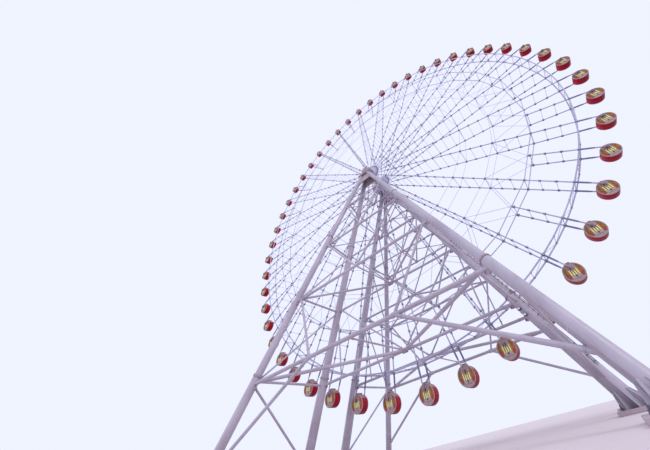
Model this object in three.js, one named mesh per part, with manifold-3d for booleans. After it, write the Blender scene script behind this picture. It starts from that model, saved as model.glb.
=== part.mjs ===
// Ferris wheel, one tenth scale: 48 level-keeping drum cabins on a two-sided spoked wheel, held
// between two tube frames of four legs each: an upright inner pair beside the wheel and a raking
// outer pair. Millimetres, +Z up, the axle lies along Y, the near side of the wheel is -Y, and the
// ground is z = 0.
import * as THREE from 'three';
import { mergeVertices } from 'three/addons/utils/BufferGeometryUtils.js';
import Module from 'manifold-3d';

const wasm = await Module();
wasm.setup();

// Driving dimensions.
const PIVOT_RADIUS = 4150; // circle of the cabin pivots
const HUB_HEIGHT = 4700; // axle above the ground
const CABIN_COUNT = 48;
const SEAT_GAP = 0.3; // between nodes that bear on each other

// Wheel.
const SPOKE_HALF_HUB = 217; // spoke centre line from the wheel's mid plane, at the hub
const SPOKE_HALF_RIM = 94; // the same at the cabin pivots
const SPOKE_WIDTH = 24;
const SPOKE_DEPTH = 24;
const SPOKE_OVERHANG = 20; // beyond the cabin pivot
const OUTER_RING_RADIUS = 3875;
const INNER_RING_RADIUS = 3320;
const RING_SECTION = 18;
const INNER_RING_SECTION = 14;
const RUNG_SIZE = 12;
const HUB_PLATE_RADIUS = 215;
const HUB_PLATE_THICKNESS = 31;
const HUB_PLATE_HOLE = 90;
const SPOKE_ROOT_RADIUS = 170;
const ARM_INNER_FACE = SPOKE_HALF_RIM - SPOKE_DEPTH / 2;

// Hub and axle.
const HUB_HALF_LENGTH = 200;
const HUB_BARREL_RADIUS = 112;
const HUB_FLANGE_THICKNESS = 20;
const HUB_FLANGE_RADIUS = 210;
const HUB_SIDES = 20;
const AXLE_RADIUS = 55;
const AXLE_SIDES = 16;
const BEARING_MIDDLE = 325; // from the wheel's mid plane
const BEARING_HALF_DEPTH = 78;
const BEARING_HALF_WIDTH = 125;
const BEARING_TOP = 95; // above the axle
const BEARING_BOTTOM = 215; // below the axle
const BEARING_CHAMFER = 55;
const AXLE_END_CAP_RADIUS = 80;
const AXLE_END_CAP_LENGTH = 26;
const HEAD_PLATE_HALF_WIDTH = 160;
const HEAD_PLATE_THICKNESS = 30;
const HEAD_PLATE_REACH = 490; // outer edge, from the wheel's mid plane

// Cabins.
const CABIN_HANG = 40; // pivot to the drum's middle
const CABIN_RADIUS = 104;
const CABIN_HALF_DEPTH = 61;
const CABIN_SIDES = 14;
const BRACKET_WIDTH = 44;
const BRACKET_REACH = 77; // outer face, from the drum's middle
const BRACKET_TOP = 45; // above the pivot
const BRACKET_BOTTOM = 21; // below the pivot
const ROOF_UNIT = { width: 60, depth: 84, top: 81 }; // top is above the pivot
const PIN_RADIUS = 8;

// Support frames.
const OUTER_FOOT = { x: 1900, y: 1560 };
const INNER_FOOT = { x: 1800, y: 325 };
const OUTER_HEAD = 385; // where the outer legs aim at the axle's height, from the mid plane
const INNER_HEAD = 325;
const OUTER_LEG_RADII = [48, 45, 42]; // from the ground up
const INNER_LEG_RADII = [58, 54, 48];
const LEG_SPLICES = [0.217, 0.62]; // share of the leg's length, from the ground
const LEG_SIDES = 12;
const COLLAR_EXTRA = 7;
const COLLAR_LENGTH = 16;
const FOOT_PLATE = 300;
const FOOT_PLATE_THICKNESS = 24;
const FOOT_STUB_SINK = 12;
const TIE_LEVELS = [0.2, 0.39, 0.575, 0.76]; // share of the leg's length, from the ground
const OUTER_TIE_RADII = [20, 18, 15, 13];
const INNER_TIE_RADII = [17, 15, 13, 12];
const KNEE_RADIUS = 17;
const KNEE_ON_TIE = 560; // from the middle of the lowest tie
const KNEE_ON_LEG = 0.05; // share of the outer leg's length, from the ground
const DIAGONAL_RADIUS = 14;
const DIAGONAL_END = 0.05; // share of the upper tie's length, from its end
const STRUT_RADIUS = 14;
const STRUT_ON_TIE = 120; // from the end of the outer tie
const LEVEL_BRACE_RADII = [19, 14]; // from the outer ties' ends to the middle of the inner ties
const BRACE_SIDES = 8;

const WHITE_PAINT = { color: 0xe4e0ea, roughness: 0.45, metalness: 0.1 };
const WHEEL_PAINT = { color: 0xc9c7dc, roughness: 0.45, metalness: 0.2 };
const BEARING_STEEL = { color: 0x8a7470, roughness: 0.6, metalness: 0.4 };
const CABIN_RED = { color: 0xb3202c, roughness: 0.35, metalness: 0.05 };

const Y_AXIS = new THREE.Vector3(0, 1, 0);
const DEGREE = Math.PI / 180;

function vec(x, y, z) {
  return new THREE.Vector3(x, y, z);
}

function solidOf(geometry) {
  const bare = geometry.clone();
  bare.deleteAttribute('normal');
  bare.deleteAttribute('uv');
  const welded = mergeVertices(bare, 1e-4);
  const mesh = new wasm.Mesh({
    numProp: 3,
    vertProperties: new Float32Array(welded.attributes.position.array),
    triVerts: new Uint32Array(welded.index.array),
  });
  return new wasm.Manifold(mesh);
}

function geometryOf(solid) {
  const mesh = solid.getMesh();
  const geometry = new THREE.BufferGeometry();
  const positions = [];
  for (let i = 0; i < mesh.vertProperties.length; i += mesh.numProp) {
    positions.push(...mesh.vertProperties.slice(i, i + 3));
  }
  geometry.setAttribute('position', new THREE.Float32BufferAttribute(positions, 3));
  geometry.setIndex(Array.from(mesh.triVerts));
  return geometry;
}

function unionOf(geometries) {
  let solids = geometries.map(solidOf);
  while (solids.length > 1) {
    const next = [];
    for (let i = 0; i < solids.length; i += 2) {
      next.push(i + 1 < solids.length ? solids[i].add(solids[i + 1]) : solids[i]);
    }
    solids = next;
  }
  return solids[0];
}

function nodeOf(name, geometry, paint) {
  const material = new THREE.MeshStandardMaterial(paint);
  geometry.computeVertexNormals();
  const mesh = new THREE.Mesh(geometry, material);
  mesh.name = name;
  return mesh;
}

// A box from a to b; depth is measured across the wheel's mid plane.
function bar(a, b, width, depth) {
  const along = b.clone().sub(a);
  const length = along.length();
  along.normalize();
  const across = new THREE.Vector3().crossVectors(along, Y_AXIS).normalize();
  const normal = new THREE.Vector3().crossVectors(across, along);
  const place = new THREE.Matrix4().makeBasis(across, along, normal);
  place.setPosition(a.clone().add(b).multiplyScalar(0.5));
  return new THREE.BoxGeometry(width, length, depth).applyMatrix4(place);
}

// A stepped round tube from a to b; steps is a list of [distance from a, radius].
function steppedTube(a, b, steps, sides) {
  const profile = [new THREE.Vector2(0, steps[0][0])];
  for (const [distance, radius] of steps) {
    profile.push(new THREE.Vector2(radius, distance));
  }
  profile.push(new THREE.Vector2(0, steps[steps.length - 1][0]));
  const along = b.clone().sub(a).normalize();
  const turn = new THREE.Quaternion().setFromUnitVectors(Y_AXIS, along);
  const place = new THREE.Matrix4().makeRotationFromQuaternion(turn).setPosition(a);
  return new THREE.LatheGeometry(profile, sides).applyMatrix4(place);
}

function tube(a, b, radius, sides) {
  const length = a.distanceTo(b);
  return steppedTube(a, b, [[0, radius], [length, radius]], sides);
}

// A disc, or a ring where inner is over 0, about Y from y = from to y = to.
function plate(outer, inner, from, to, sides) {
  const profile = [[inner, from], [outer, from], [outer, to], [inner, to]];
  if (inner > 0) profile.push(profile[0]);
  const points = profile.map(([radius, y]) => new THREE.Vector2(radius, y));
  return new THREE.LatheGeometry(points, sides);
}

function rimPoint(angle, radius, y) {
  return vec(radius * Math.sin(angle), y, radius * Math.cos(angle));
}

// Distance of the spoke's centre line from the mid plane.
function spokeHalf(radius) {
  const share = (radius - SPOKE_ROOT_RADIUS) / (PIVOT_RADIUS - SPOKE_ROOT_RADIUS);
  return SPOKE_HALF_HUB + (SPOKE_HALF_RIM - SPOKE_HALF_HUB) * share;
}

const HUB_CENTRE = vec(0, 0, HUB_HEIGHT);
const CABIN_STEP = (2 * Math.PI) / CABIN_COUNT;

// One side of the wheel, in the hub's own frame. The long spokes run from the hub to every second
// cabin, the short ones start at the inner ring. Each side carries its half of the rungs that tie
// the two outer rings together, and the halves meet in the wheel's mid plane.
function wheelSide(side) {
  const pieces = [];
  const ringAt = (radius, section, sides) => {
    const middle = side * spokeHalf(radius);
    const half = section / 2;
    return plate(radius + half, radius - half, middle - half, middle + half, sides);
  };
  pieces.push(ringAt(OUTER_RING_RADIUS, RING_SECTION, CABIN_COUNT));
  pieces.push(ringAt(INNER_RING_RADIUS, INNER_RING_SECTION, CABIN_COUNT / 2));
  const plateInside = HUB_HALF_LENGTH + SEAT_GAP;
  const plateOutside = HUB_HALF_LENGTH + HUB_PLATE_THICKNESS;
  const plateFrom = side < 0 ? -plateOutside : plateInside;
  const plateTo = side < 0 ? -plateInside : plateOutside;
  pieces.push(plate(HUB_PLATE_RADIUS, HUB_PLATE_HOLE, plateFrom, plateTo, CABIN_COUNT / 2));
  const shortStart = INNER_RING_RADIUS * Math.cos(CABIN_STEP) - INNER_RING_SECTION / 4;
  for (let i = 0; i < CABIN_COUNT; i += 1) {
    const angle = i * CABIN_STEP;
    const start = i % 2 === 0 ? SPOKE_ROOT_RADIUS : shortStart;
    const a = rimPoint(angle, start, side * spokeHalf(start));
    const end = PIVOT_RADIUS + SPOKE_OVERHANG;
    const b = rimPoint(angle, end, side * spokeHalf(end));
    pieces.push(bar(a, b, SPOKE_WIDTH, SPOKE_DEPTH));
  }
  for (let i = 0; i < CABIN_COUNT; i += 1) {
    const a = rimPoint(i * CABIN_STEP, OUTER_RING_RADIUS, side * spokeHalf(OUTER_RING_RADIUS));
    const b = rimPoint(i * CABIN_STEP, OUTER_RING_RADIUS, side * (SEAT_GAP / 2));
    pieces.push(rung(a, b, RUNG_SIZE));
  }
  return unionOf(pieces);
}

function rung(a, b, size) {
  const length = Math.abs(b.y - a.y);
  const box = new THREE.BoxGeometry(size, length, size);
  box.rotateY(Math.atan2(a.x, a.z));
  return box.translate(a.x, (a.y + b.y) / 2, a.z);
}

function hub() {
  const inner = HUB_HALF_LENGTH - HUB_FLANGE_THICKNESS;
  const profile = [
    [0, -HUB_HALF_LENGTH],
    [HUB_FLANGE_RADIUS, -HUB_HALF_LENGTH],
    [HUB_FLANGE_RADIUS, -inner],
    [HUB_BARREL_RADIUS, -inner],
    [HUB_BARREL_RADIUS, inner],
    [HUB_FLANGE_RADIUS, inner],
    [HUB_FLANGE_RADIUS, HUB_HALF_LENGTH],
    [0, HUB_HALF_LENGTH],
  ];
  const points = profile.map(([radius, y]) => new THREE.Vector2(radius, y));
  const body = solidOf(new THREE.LatheGeometry(points, HUB_SIDES));
  // The bore's flats face the axle's edges, so its corners stand outside the running circle.
  const boreRadius = (AXLE_RADIUS + SEAT_GAP) / Math.cos(Math.PI / AXLE_SIDES);
  const bore = plate(boreRadius, 0, -HUB_HALF_LENGTH - 5, HUB_HALF_LENGTH + 5, AXLE_SIDES);
  return body.subtract(solidOf(bore.rotateY(Math.PI / AXLE_SIDES)));
}

// Axle with its two bearing pedestals, in the hub's own frame.
function axleAndBearings() {
  const outerEnd = BEARING_MIDDLE + BEARING_HALF_DEPTH;
  const pieces = [plate(AXLE_RADIUS, 0, -outerEnd - 5, outerEnd + 5, AXLE_SIDES)];
  const shape = new THREE.Shape();
  shape.moveTo(-BEARING_HALF_WIDTH, -BEARING_BOTTOM);
  shape.lineTo(BEARING_HALF_WIDTH, -BEARING_BOTTOM);
  shape.lineTo(BEARING_HALF_WIDTH, BEARING_TOP - BEARING_CHAMFER);
  shape.lineTo(BEARING_HALF_WIDTH - BEARING_CHAMFER, BEARING_TOP);
  shape.lineTo(-BEARING_HALF_WIDTH + BEARING_CHAMFER, BEARING_TOP);
  shape.lineTo(-BEARING_HALF_WIDTH, BEARING_TOP - BEARING_CHAMFER);
  shape.closePath();
  for (const side of [-1, 1]) {
    const depth = 2 * BEARING_HALF_DEPTH;
    const block = new THREE.ExtrudeGeometry(shape, { depth, bevelEnabled: false });
    block.rotateX(Math.PI / 2);
    pieces.push(block.translate(0, side * BEARING_MIDDLE + BEARING_HALF_DEPTH, 0));
    const plateFrom = BEARING_MIDDLE - BEARING_HALF_DEPTH;
    const plateDepth = HEAD_PLATE_REACH - plateFrom;
    const head = new THREE.BoxGeometry(2 * HEAD_PLATE_HALF_WIDTH, plateDepth, HEAD_PLATE_THICKNESS);
    const headMiddle = side * (plateFrom + plateDepth / 2);
    pieces.push(head.translate(0, headMiddle, HEAD_PLATE_THICKNESS / 2 - BEARING_BOTTOM));
    const from = side < 0 ? -outerEnd - AXLE_END_CAP_LENGTH : outerEnd - 1;
    pieces.push(plate(AXLE_END_CAP_RADIUS, 0, from, from + AXLE_END_CAP_LENGTH + 1, AXLE_SIDES));
  }
  return unionOf(pieces);
}

// Cabin about its own pivot: a drum with a bracket on each face, the pivot pin and the roof unit.
function cabinGeometry() {
  const drum = plate(CABIN_RADIUS, 0, -CABIN_HALF_DEPTH, CABIN_HALF_DEPTH, CABIN_SIDES);
  drum.rotateY(Math.PI / CABIN_SIDES).translate(0, 0, -CABIN_HANG);
  const bracketHeight = BRACKET_TOP + BRACKET_BOTTOM;
  const brackets = new THREE.BoxGeometry(BRACKET_WIDTH, 2 * BRACKET_REACH, bracketHeight);
  brackets.translate(0, 0, BRACKET_TOP - bracketHeight / 2);
  const roof = new THREE.BoxGeometry(ROOF_UNIT.width, ROOF_UNIT.depth, ROOF_UNIT.top);
  roof.translate(0, 0, ROOF_UNIT.top / 2);
  const reach = ARM_INNER_FACE - SEAT_GAP;
  const pin = plate(PIN_RADIUS, 0, -reach, reach, 6);
  return geometryOf(unionOf([drum, brackets, roof, pin]));
}

// A leg's axis, from its foot on the ground to where it aims at the axle's height.
function legAxis(foot, head, hand, side) {
  return {
    foot: vec(hand * foot.x, side * foot.y, 0),
    top: vec(0, side * head, HUB_HEIGHT),
  };
}

function outerLeg(hand, side) {
  return legAxis(OUTER_FOOT, OUTER_HEAD, hand, side);
}

function innerLeg(hand, side) {
  return legAxis(INNER_FOOT, INNER_HEAD, hand, side);
}

function alongLeg(axis, share) {
  return axis.foot.clone().lerp(axis.top, share);
}

function legTube(axis, radii, extra) {
  const length = axis.foot.distanceTo(axis.top);
  const lower = length * LEG_SPLICES[0];
  const upper = length * LEG_SPLICES[1];
  const half = COLLAR_LENGTH / 2;
  const collar = (at, radius) => [[at - half, radius], [at + half, radius]];
  const [r0, r1, r2] = radii.map((radius) => radius + extra);
  const steps = [
    [0, r0],
    [lower - half, r0],
    ...collar(lower, r0 + COLLAR_EXTRA),
    [lower + half, r1],
    [upper - half, r1],
    ...collar(upper, r1 + COLLAR_EXTRA),
    [upper + half, r2],
    [length, r2],
  ];
  return steppedTube(axis.foot, axis.top, steps, LEG_SIDES);
}

function halfSpaceBox(zFrom, zTo) {
  const size = 20000;
  const box = new THREE.BoxGeometry(size, size, zTo - zFrom);
  return solidOf(box.translate(0, 0, (zFrom + zTo) / 2));
}

function leg(axis, radii) {
  const top = HUB_HEIGHT - BEARING_BOTTOM - SEAT_GAP;
  const body = solidOf(legTube(axis, radii, 0)).intersect(halfSpaceBox(FOOT_STUB_SINK, top));
  const plateBox = new THREE.BoxGeometry(FOOT_PLATE, FOOT_PLATE, FOOT_PLATE_THICKNESS);
  plateBox.translate(axis.foot.x, axis.foot.y, FOOT_PLATE_THICKNESS / 2);
  return body.add(solidOf(plateBox));
}

// Point on the segment a-b at the given distance from its end a, on the way to b.
function inset(a, b, distance) {
  const along = b.clone().sub(a).normalize();
  return a.clone().addScaledVector(along, distance);
}

function tiesBetween(left, right) {
  return TIE_LEVELS.map((share) => ({ a: alongLeg(left, share), b: alongLeg(right, share) }));
}

function middleOf(tie) {
  return tie.a.clone().lerp(tie.b, 0.5);
}

// The upright pair of legs beside the wheel with the ties between them.
function innerFrame(side) {
  const left = innerLeg(-1, side);
  const right = innerLeg(1, side);
  let body = leg(left, INNER_LEG_RADII).add(leg(right, INNER_LEG_RADII));
  tiesBetween(left, right).forEach((tie, i) => {
    body = body.add(solidOf(tube(tie.a, tie.b, INNER_TIE_RADII[i], BRACE_SIDES)));
  });
  return body;
}

// The raking face between the outer legs: ties, V diagonals and knees to the feet, with struts and
// level braces back to the inner frame, fused into one truss that stops short of all the legs.
function bracing(side) {
  const left = outerLeg(-1, side);
  const right = outerLeg(1, side);
  const innerLeft = innerLeg(-1, side);
  const innerRight = innerLeg(1, side);
  const ties = tiesBetween(left, right);
  const innerTies = tiesBetween(innerLeft, innerRight);
  const pieces = ties.map((tie, i) => tube(tie.a, tie.b, OUTER_TIE_RADII[i], BRACE_SIDES));
  const knees = [
    inset(middleOf(ties[0]), ties[0].a, KNEE_ON_TIE),
    inset(middleOf(ties[0]), ties[0].b, KNEE_ON_TIE),
  ];
  pieces.push(tube(knees[0], alongLeg(left, KNEE_ON_LEG), KNEE_RADIUS, 6));
  pieces.push(tube(knees[1], alongLeg(right, KNEE_ON_LEG), KNEE_RADIUS, 6));
  for (let i = 0; i + 1 < ties.length; i += 1) {
    const high = ties[i + 1];
    const starts = i === 0 ? knees : [middleOf(ties[i]), middleOf(ties[i])];
    pieces.push(tube(starts[0], high.a.clone().lerp(high.b, DIAGONAL_END), DIAGONAL_RADIUS, 6));
    pieces.push(tube(starts[1], high.b.clone().lerp(high.a, DIAGONAL_END), DIAGONAL_RADIUS, 6));
  }
  ties.forEach((tie, i) => {
    for (const [end, away, target] of [
      [tie.a, tie.b, alongLeg(innerLeft, TIE_LEVELS[i])],
      [tie.b, tie.a, alongLeg(innerRight, TIE_LEVELS[i])],
    ]) {
      const start = inset(end, away, STRUT_ON_TIE);
      pieces.push(tube(start, target, STRUT_RADIUS, 6));
      if (i < LEVEL_BRACE_RADII.length) {
        pieces.push(tube(start, middleOf(innerTies[i]), LEVEL_BRACE_RADII[i], 6));
      }
    }
  });
  let body = unionOf(pieces);
  for (const axis of [left, right]) {
    body = body.subtract(solidOf(legTube(axis, OUTER_LEG_RADII, SEAT_GAP)));
  }
  for (const axis of [innerLeft, innerRight]) {
    body = body.subtract(solidOf(legTube(axis, INNER_LEG_RADII, SEAT_GAP)));
  }
  innerTies.forEach((tie, i) => {
    const grown = INNER_TIE_RADII[i] + SEAT_GAP;
    body = body.subtract(solidOf(tube(tie.a, tie.b, grown, BRACE_SIDES)));
  });
  return largestPart(body);
}

// Cutting by the legs leaves stubs inside and beyond them: only the truss itself is kept.
function largestPart(solid) {
  const parts = solid.decompose();
  parts.sort((p, q) => q.volume() - p.volume());
  return parts[0];
}

const wheel = new THREE.Group();

const support = new THREE.Group();
for (const [side, where] of [[-1, 'near'], [1, 'far']]) {
  const frames = [
    [`${where}_left_leg`, leg(outerLeg(-1, side), OUTER_LEG_RADII)],
    [`${where}_right_leg`, leg(outerLeg(1, side), OUTER_LEG_RADII)],
    [`${where}_inner_frame`, innerFrame(side)],
    [`${where}_bracing`, bracing(side)],
  ];
  for (const [name, solid] of frames) {
    support.add(nodeOf(name, geometryOf(solid), WHITE_PAINT));
  }
}

const axle = nodeOf('axle_and_bearings', geometryOf(axleAndBearings()), BEARING_STEEL);
axle.position.copy(HUB_CENTRE);
support.add(axle);

const turning = new THREE.Group();
turning.position.copy(HUB_CENTRE);
turning.add(nodeOf('hub', geometryOf(hub()), BEARING_STEEL));
turning.add(nodeOf('near_wheel_side', geometryOf(wheelSide(-1)), WHEEL_PAINT));
turning.add(nodeOf('far_wheel_side', geometryOf(wheelSide(1)), WHEEL_PAINT));

const cabinShape = cabinGeometry();
for (let i = 0; i < CABIN_COUNT; i += 1) {
  const name = `cabin_${String(i + 1).padStart(2, '0')}`;
  const cabin = nodeOf(name, cabinShape.clone(), CABIN_RED);
  cabin.position.copy(rimPoint(i * CABIN_STEP, PIVOT_RADIUS, 0));
  turning.add(cabin);
}

wheel.add(support, turning);

export default wheel;
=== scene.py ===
"""Ferris wheel, one tenth scale, dressed for rendering.

Metres, +Z up, the axle lies along Y, the near side is -Y and the ground is z = 0.
"""
import math

import bmesh
import bpy
from mathutils import Matrix, Vector


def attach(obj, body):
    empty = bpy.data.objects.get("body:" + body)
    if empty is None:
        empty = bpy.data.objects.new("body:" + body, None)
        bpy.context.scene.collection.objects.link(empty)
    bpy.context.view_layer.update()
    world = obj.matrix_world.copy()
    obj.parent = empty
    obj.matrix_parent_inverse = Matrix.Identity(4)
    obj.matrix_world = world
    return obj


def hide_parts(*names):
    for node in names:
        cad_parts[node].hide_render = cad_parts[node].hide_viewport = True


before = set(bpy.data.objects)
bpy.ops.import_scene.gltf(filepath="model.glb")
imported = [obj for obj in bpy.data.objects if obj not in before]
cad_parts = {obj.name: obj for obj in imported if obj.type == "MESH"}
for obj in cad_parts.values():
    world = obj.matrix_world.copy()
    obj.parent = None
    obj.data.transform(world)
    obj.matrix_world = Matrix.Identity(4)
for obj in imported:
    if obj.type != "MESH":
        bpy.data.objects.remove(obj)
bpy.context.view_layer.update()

# Sizes shared with the solids.
HUB_HEIGHT = 4.700
PIVOT_RADIUS = 4.150
CABIN_COUNT = 48
CABIN_STEP = 2 * math.pi / CABIN_COUNT
SPOKE_HALF_HUB = 0.217
SPOKE_HALF_RIM = 0.094
SPOKE_ROOT = 0.170
SPOKE_END = 4.170
OUTER_RING = 3.875
INNER_RING = 3.320
HUB_HALF = 0.200
HUB_BARREL = 0.112
HUB_FLANGE = 0.210
HUB_FLANGE_THICKNESS = 0.020
HUB_PLATE = 0.215
HUB_PLATE_HOLE = 0.090
HUB_PLATE_THICKNESS = 0.031
AXLE = 0.055
BEARING_MIDDLE = 0.325
BEARING_HALF_DEPTH = 0.078
BEARING_HALF_WIDTH = 0.125
BEARING_TOP = 0.095
BEARING_BOTTOM = 0.215
AXLE_CAP = 0.080
AXLE_CAP_LENGTH = 0.026
HEAD_PLATE_HALF_WIDTH = 0.160
HEAD_PLATE_THICKNESS = 0.030
HEAD_PLATE_REACH = 0.490
CABIN_HANG = 0.040
CABIN_RADIUS = 0.104
CABIN_HALF_DEPTH = 0.061
BRACKET_WIDTH = 0.044
BRACKET_REACH = 0.077
BRACKET_TOP = 0.045
BRACKET_BOTTOM = 0.021
ROOF_TOP = 0.081
PIN_REACH = 0.0817
OUTER_FOOT = (1.900, 1.560)
INNER_FOOT = (1.800, 0.325)
OUTER_HEAD = 0.385
INNER_HEAD = 0.325
OUTER_LEG = (0.048, 0.045, 0.042)
INNER_LEG = (0.058, 0.054, 0.048)
SPLICES = (0.217, 0.62)
COLLAR_EXTRA = 0.007
COLLAR_LENGTH = 0.016
FOOT_PLATE = 0.300
FOOT_PLATE_THICKNESS = 0.024
TIE_LEVELS = (0.2, 0.39, 0.575, 0.76)
OUTER_TIES = (0.020, 0.018, 0.015, 0.013)
INNER_TIES = (0.017, 0.015, 0.013, 0.012)
LEVEL_BRACES = (0.019, 0.014)
DIAGONAL = 0.014
DIAGONAL_END = 0.05
KNEE = 0.017
KNEE_ON_TIE = 0.560
KNEE_ON_LEG = 0.05
STRUT = 0.014
STRUT_ON_TIE = 0.120

# Sizes of the finer work on the wheel. A disc has radius and thickness, a pin length and radius.
SKIN = 0.001
SPOKE_TUBE = 0.009
SPOKE_SLEEVE = 0.0118
SLEEVE_LENGTH = 0.160
END_LUG = 0.072
COUPLING = (0.0205, 0.009)
COUPLING_SHIFT = 0.007
SOCKET = (0.0155, 0.030)
LAMP = (0.012, 0.008, 0.026)
LAMP_STAND = 0.015
LAMP_LENS = (0.008, 0.002, 0.020)
LENS_STAND = 0.0045
EYE = (0.0135, 0.023)
OUTER_CLAMP = (0.034, 0.025, 0.026)
INNER_CLAMP = (0.032, 0.023, 0.032)
SHORT_CLAMP = (0.028, 0.023, 0.028)
CLAMP_BEVEL = 0.004
OUTER_RING_TUBE = 0.0095
INNER_RING_TUBE = 0.0070
RUNG_STEP = (OUTER_RING - INNER_RING) / 3
LONG_RUNGS = 19
SHORT_RUNGS = 4
MAIN_RUNG_EVERY = 3
RUNG_TUBE = 0.0036
MAIN_RUNG_TUBE = RUNG_TUBE * 1.3
MINOR_RUNG_TUBE = RUNG_TUBE * 0.85
LACING_TUBE = RUNG_TUBE * 0.7
RUNG_INSET = 0.004
RING_JOINT = (0.012, 0.016)
STAY_TUBE = 0.0032
STAY_FOOT = OUTER_RING - 6 * RUNG_STEP
STAY_RINGS = (STAY_FOOT, OUTER_RING - 9 * RUNG_STEP)
BOSS = 0.150
BOSS_BOLTS = 0.118
EAR = (0.005, 0.028, 0.090)
EAR_AT = 0.212
EAR_SHIFT = 0.0155
EAR_PIN = (0.044, 0.006)
EAR_PIN_AT = 0.225
HUB_RIBS = 12
HUB_RIB_REACH = 0.185
HUB_RIB_LENGTH = 0.075
HUB_BOLTS = 0.196
HUB_SIDES = 72
SEAL_RADIUS = 0.066

# Sizes of the finer work on the frames.
LEG_SIDES = 40
SPLICE_FLANGE = 0.0075
SPLICE_SHIFT = 0.0043
SPLICE_BOLT_SHIFT = 0.0037
SPLICE_BOLTS = 20
WELD_STEP = 0.42
WELD_HALF = 0.003
WELD_CLEARANCE = 0.02
LAST_WELD = 0.94
TIE_END = 0.15
BRACE_END = 0.10
BRACE_FLANGE = 0.0050
BRACE_EXTRA = 0.0035
BRACE_SHIFT = 0.0028
STIFFENERS = 8
STIFFENER_RISE = 0.110
ANCHOR_AT = 0.118
GUSSET_THICKNESS = 0.010
GUSSET_REACH = 0.075
LUG_THICKNESS = 0.012
LUG_BOLT = 0.008
SLIM_BRACE = 0.0095
SLIM_LEVEL = 0.0080
SLIM_DIAGONAL = 0.0105
FOOT_BRACE = 0.0125
HEAD_WEB_SHARES = (0.895, 0.945)
FLOODLIGHT_SHARES = (0.172, 0.186)
LADDER_TURN = math.radians(44)
LADDER_HALF_WIDTH = 0.012
LADDER_STEP = 0.052
LADDER_RAIL = 0.0024
LADDER_RUNG = 0.0034

# Washer, nut and stud of an anchor bolt: start, end, radius and number of sides.
ANCHOR_BOLT = ((0, 0.004, 0.013, 12), (0.004, 0.014, 0.010, 6), (0.014, 0.030, 0.005, 8))

# Sizes of the finer work on the cabins.
ROOF_HALF_ANGLE = 60
FACE_INSET = 0.006
PIN_TUBE = 0.0078

# Shared by all shapes and finishes.
SIDES = {"near": -1, "far": 1}
Y_AXIS = Vector((0, 1, 0))
UP = Vector((0, 0, 1))
ROUND_SIDES = 48
SMOOTH_ANGLE = 38
CABIN_SMOOTH_ANGLE = 34
BUMP_STRENGTH = 0.4

# Camera, from the photograph's own ring of cabins.
CAMERA_AT = (1.719, -3.213, 0.092)
CAMERA_FORWARD = (-0.3145, 0.6150, 0.7231)
CAMERA_UP = (0.5447, -0.5070, 0.6681)
CAMERA_LENS = 13.2469
CAMERA_SHIFT = (-0.0907, -0.0376)


# Materials.

def linear(red, green, blue):
    """Linear colour from 0-255 display values."""
    def curve(value):
        value /= 255
        return value / 12.92 if value <= 0.04045 else ((value + 0.055) / 1.055) ** 2.4
    return (curve(red), curve(green), curve(blue), 1.0)


class Finish:
    """A Principled material with short helpers for its node graph."""

    def __init__(self, name, **sockets):
        self.material = bpy.data.materials.new(name)
        self.material.use_nodes = True
        self.tree = self.material.node_tree
        self.shader = self.tree.nodes["Principled BSDF"]
        self.coords = self.node("ShaderNodeTexCoord").outputs["Object"]
        for label, value in sockets.items():
            self.shader.inputs[label.replace("_", " ")].default_value = value

    def node(self, kind, **settings):
        made = self.tree.nodes.new(kind)
        for label, value in settings.items():
            setattr(made, label, value)
        return made

    def link(self, out, into):
        self.tree.links.new(out, into)

    def noise(self, scale, detail, stretch=None, roughness=0.55):
        made = self.node("ShaderNodeTexNoise")
        made.inputs["Scale"].default_value = scale
        made.inputs["Detail"].default_value = detail
        made.inputs["Roughness"].default_value = roughness
        source = self.coords
        if stretch:
            place = self.node("ShaderNodeMapping")
            place.inputs["Scale"].default_value = stretch
            self.link(self.coords, place.inputs["Vector"])
            source = place.outputs["Vector"]
        self.link(source, made.inputs["Vector"])
        return made.outputs["Fac"]

    def remap(self, value, low, high, to_low, to_high):
        made = self.node("ShaderNodeMapRange")
        for label, number in zip(("From Min", "From Max", "To Min", "To Max"),
                                 (low, high, to_low, to_high)):
            made.inputs[label].default_value = number
        self.link(value, made.inputs["Value"])
        return made.outputs["Result"]

    def ramp(self, value, *stops):
        made = self.node("ShaderNodeValToRGB")
        while len(made.color_ramp.elements) < len(stops):
            made.color_ramp.elements.new(0.5)
        for element, (place, colour) in zip(made.color_ramp.elements, stops):
            element.position = place
            element.color = colour
        self.link(value, made.inputs["Fac"])
        return made.outputs["Color"]

    def blend(self, share, first, second):
        """Mixes two colours, each a socket or a constant."""
        made = self.node("ShaderNodeMix", data_type="RGBA")
        self.link(share, made.inputs["Factor"])
        for socket, colour in ((made.inputs[6], first), (made.inputs[7], second)):
            if isinstance(colour, tuple):
                socket.default_value = colour
            else:
                self.link(colour, socket)
        return made.outputs[2]

    def height(self):
        made = self.node("ShaderNodeSeparateXYZ")
        self.link(self.coords, made.inputs["Vector"])
        return made.outputs["Z"]

    def colour(self, socket):
        self.link(socket, self.shader.inputs["Base Color"])

    def uneven_gloss(self, scale, detail, low, high):
        rough = self.remap(self.noise(scale, detail), 0.3, 0.7, low, high)
        self.link(rough, self.shader.inputs["Roughness"])

    def bump(self, scale, detail, depth):
        made = self.node("ShaderNodeBump")
        made.inputs["Strength"].default_value = BUMP_STRENGTH
        made.inputs["Distance"].default_value = depth
        self.link(self.noise(scale, detail), made.inputs["Height"])
        self.link(made.outputs["Normal"], self.shader.inputs["Normal"])


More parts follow.
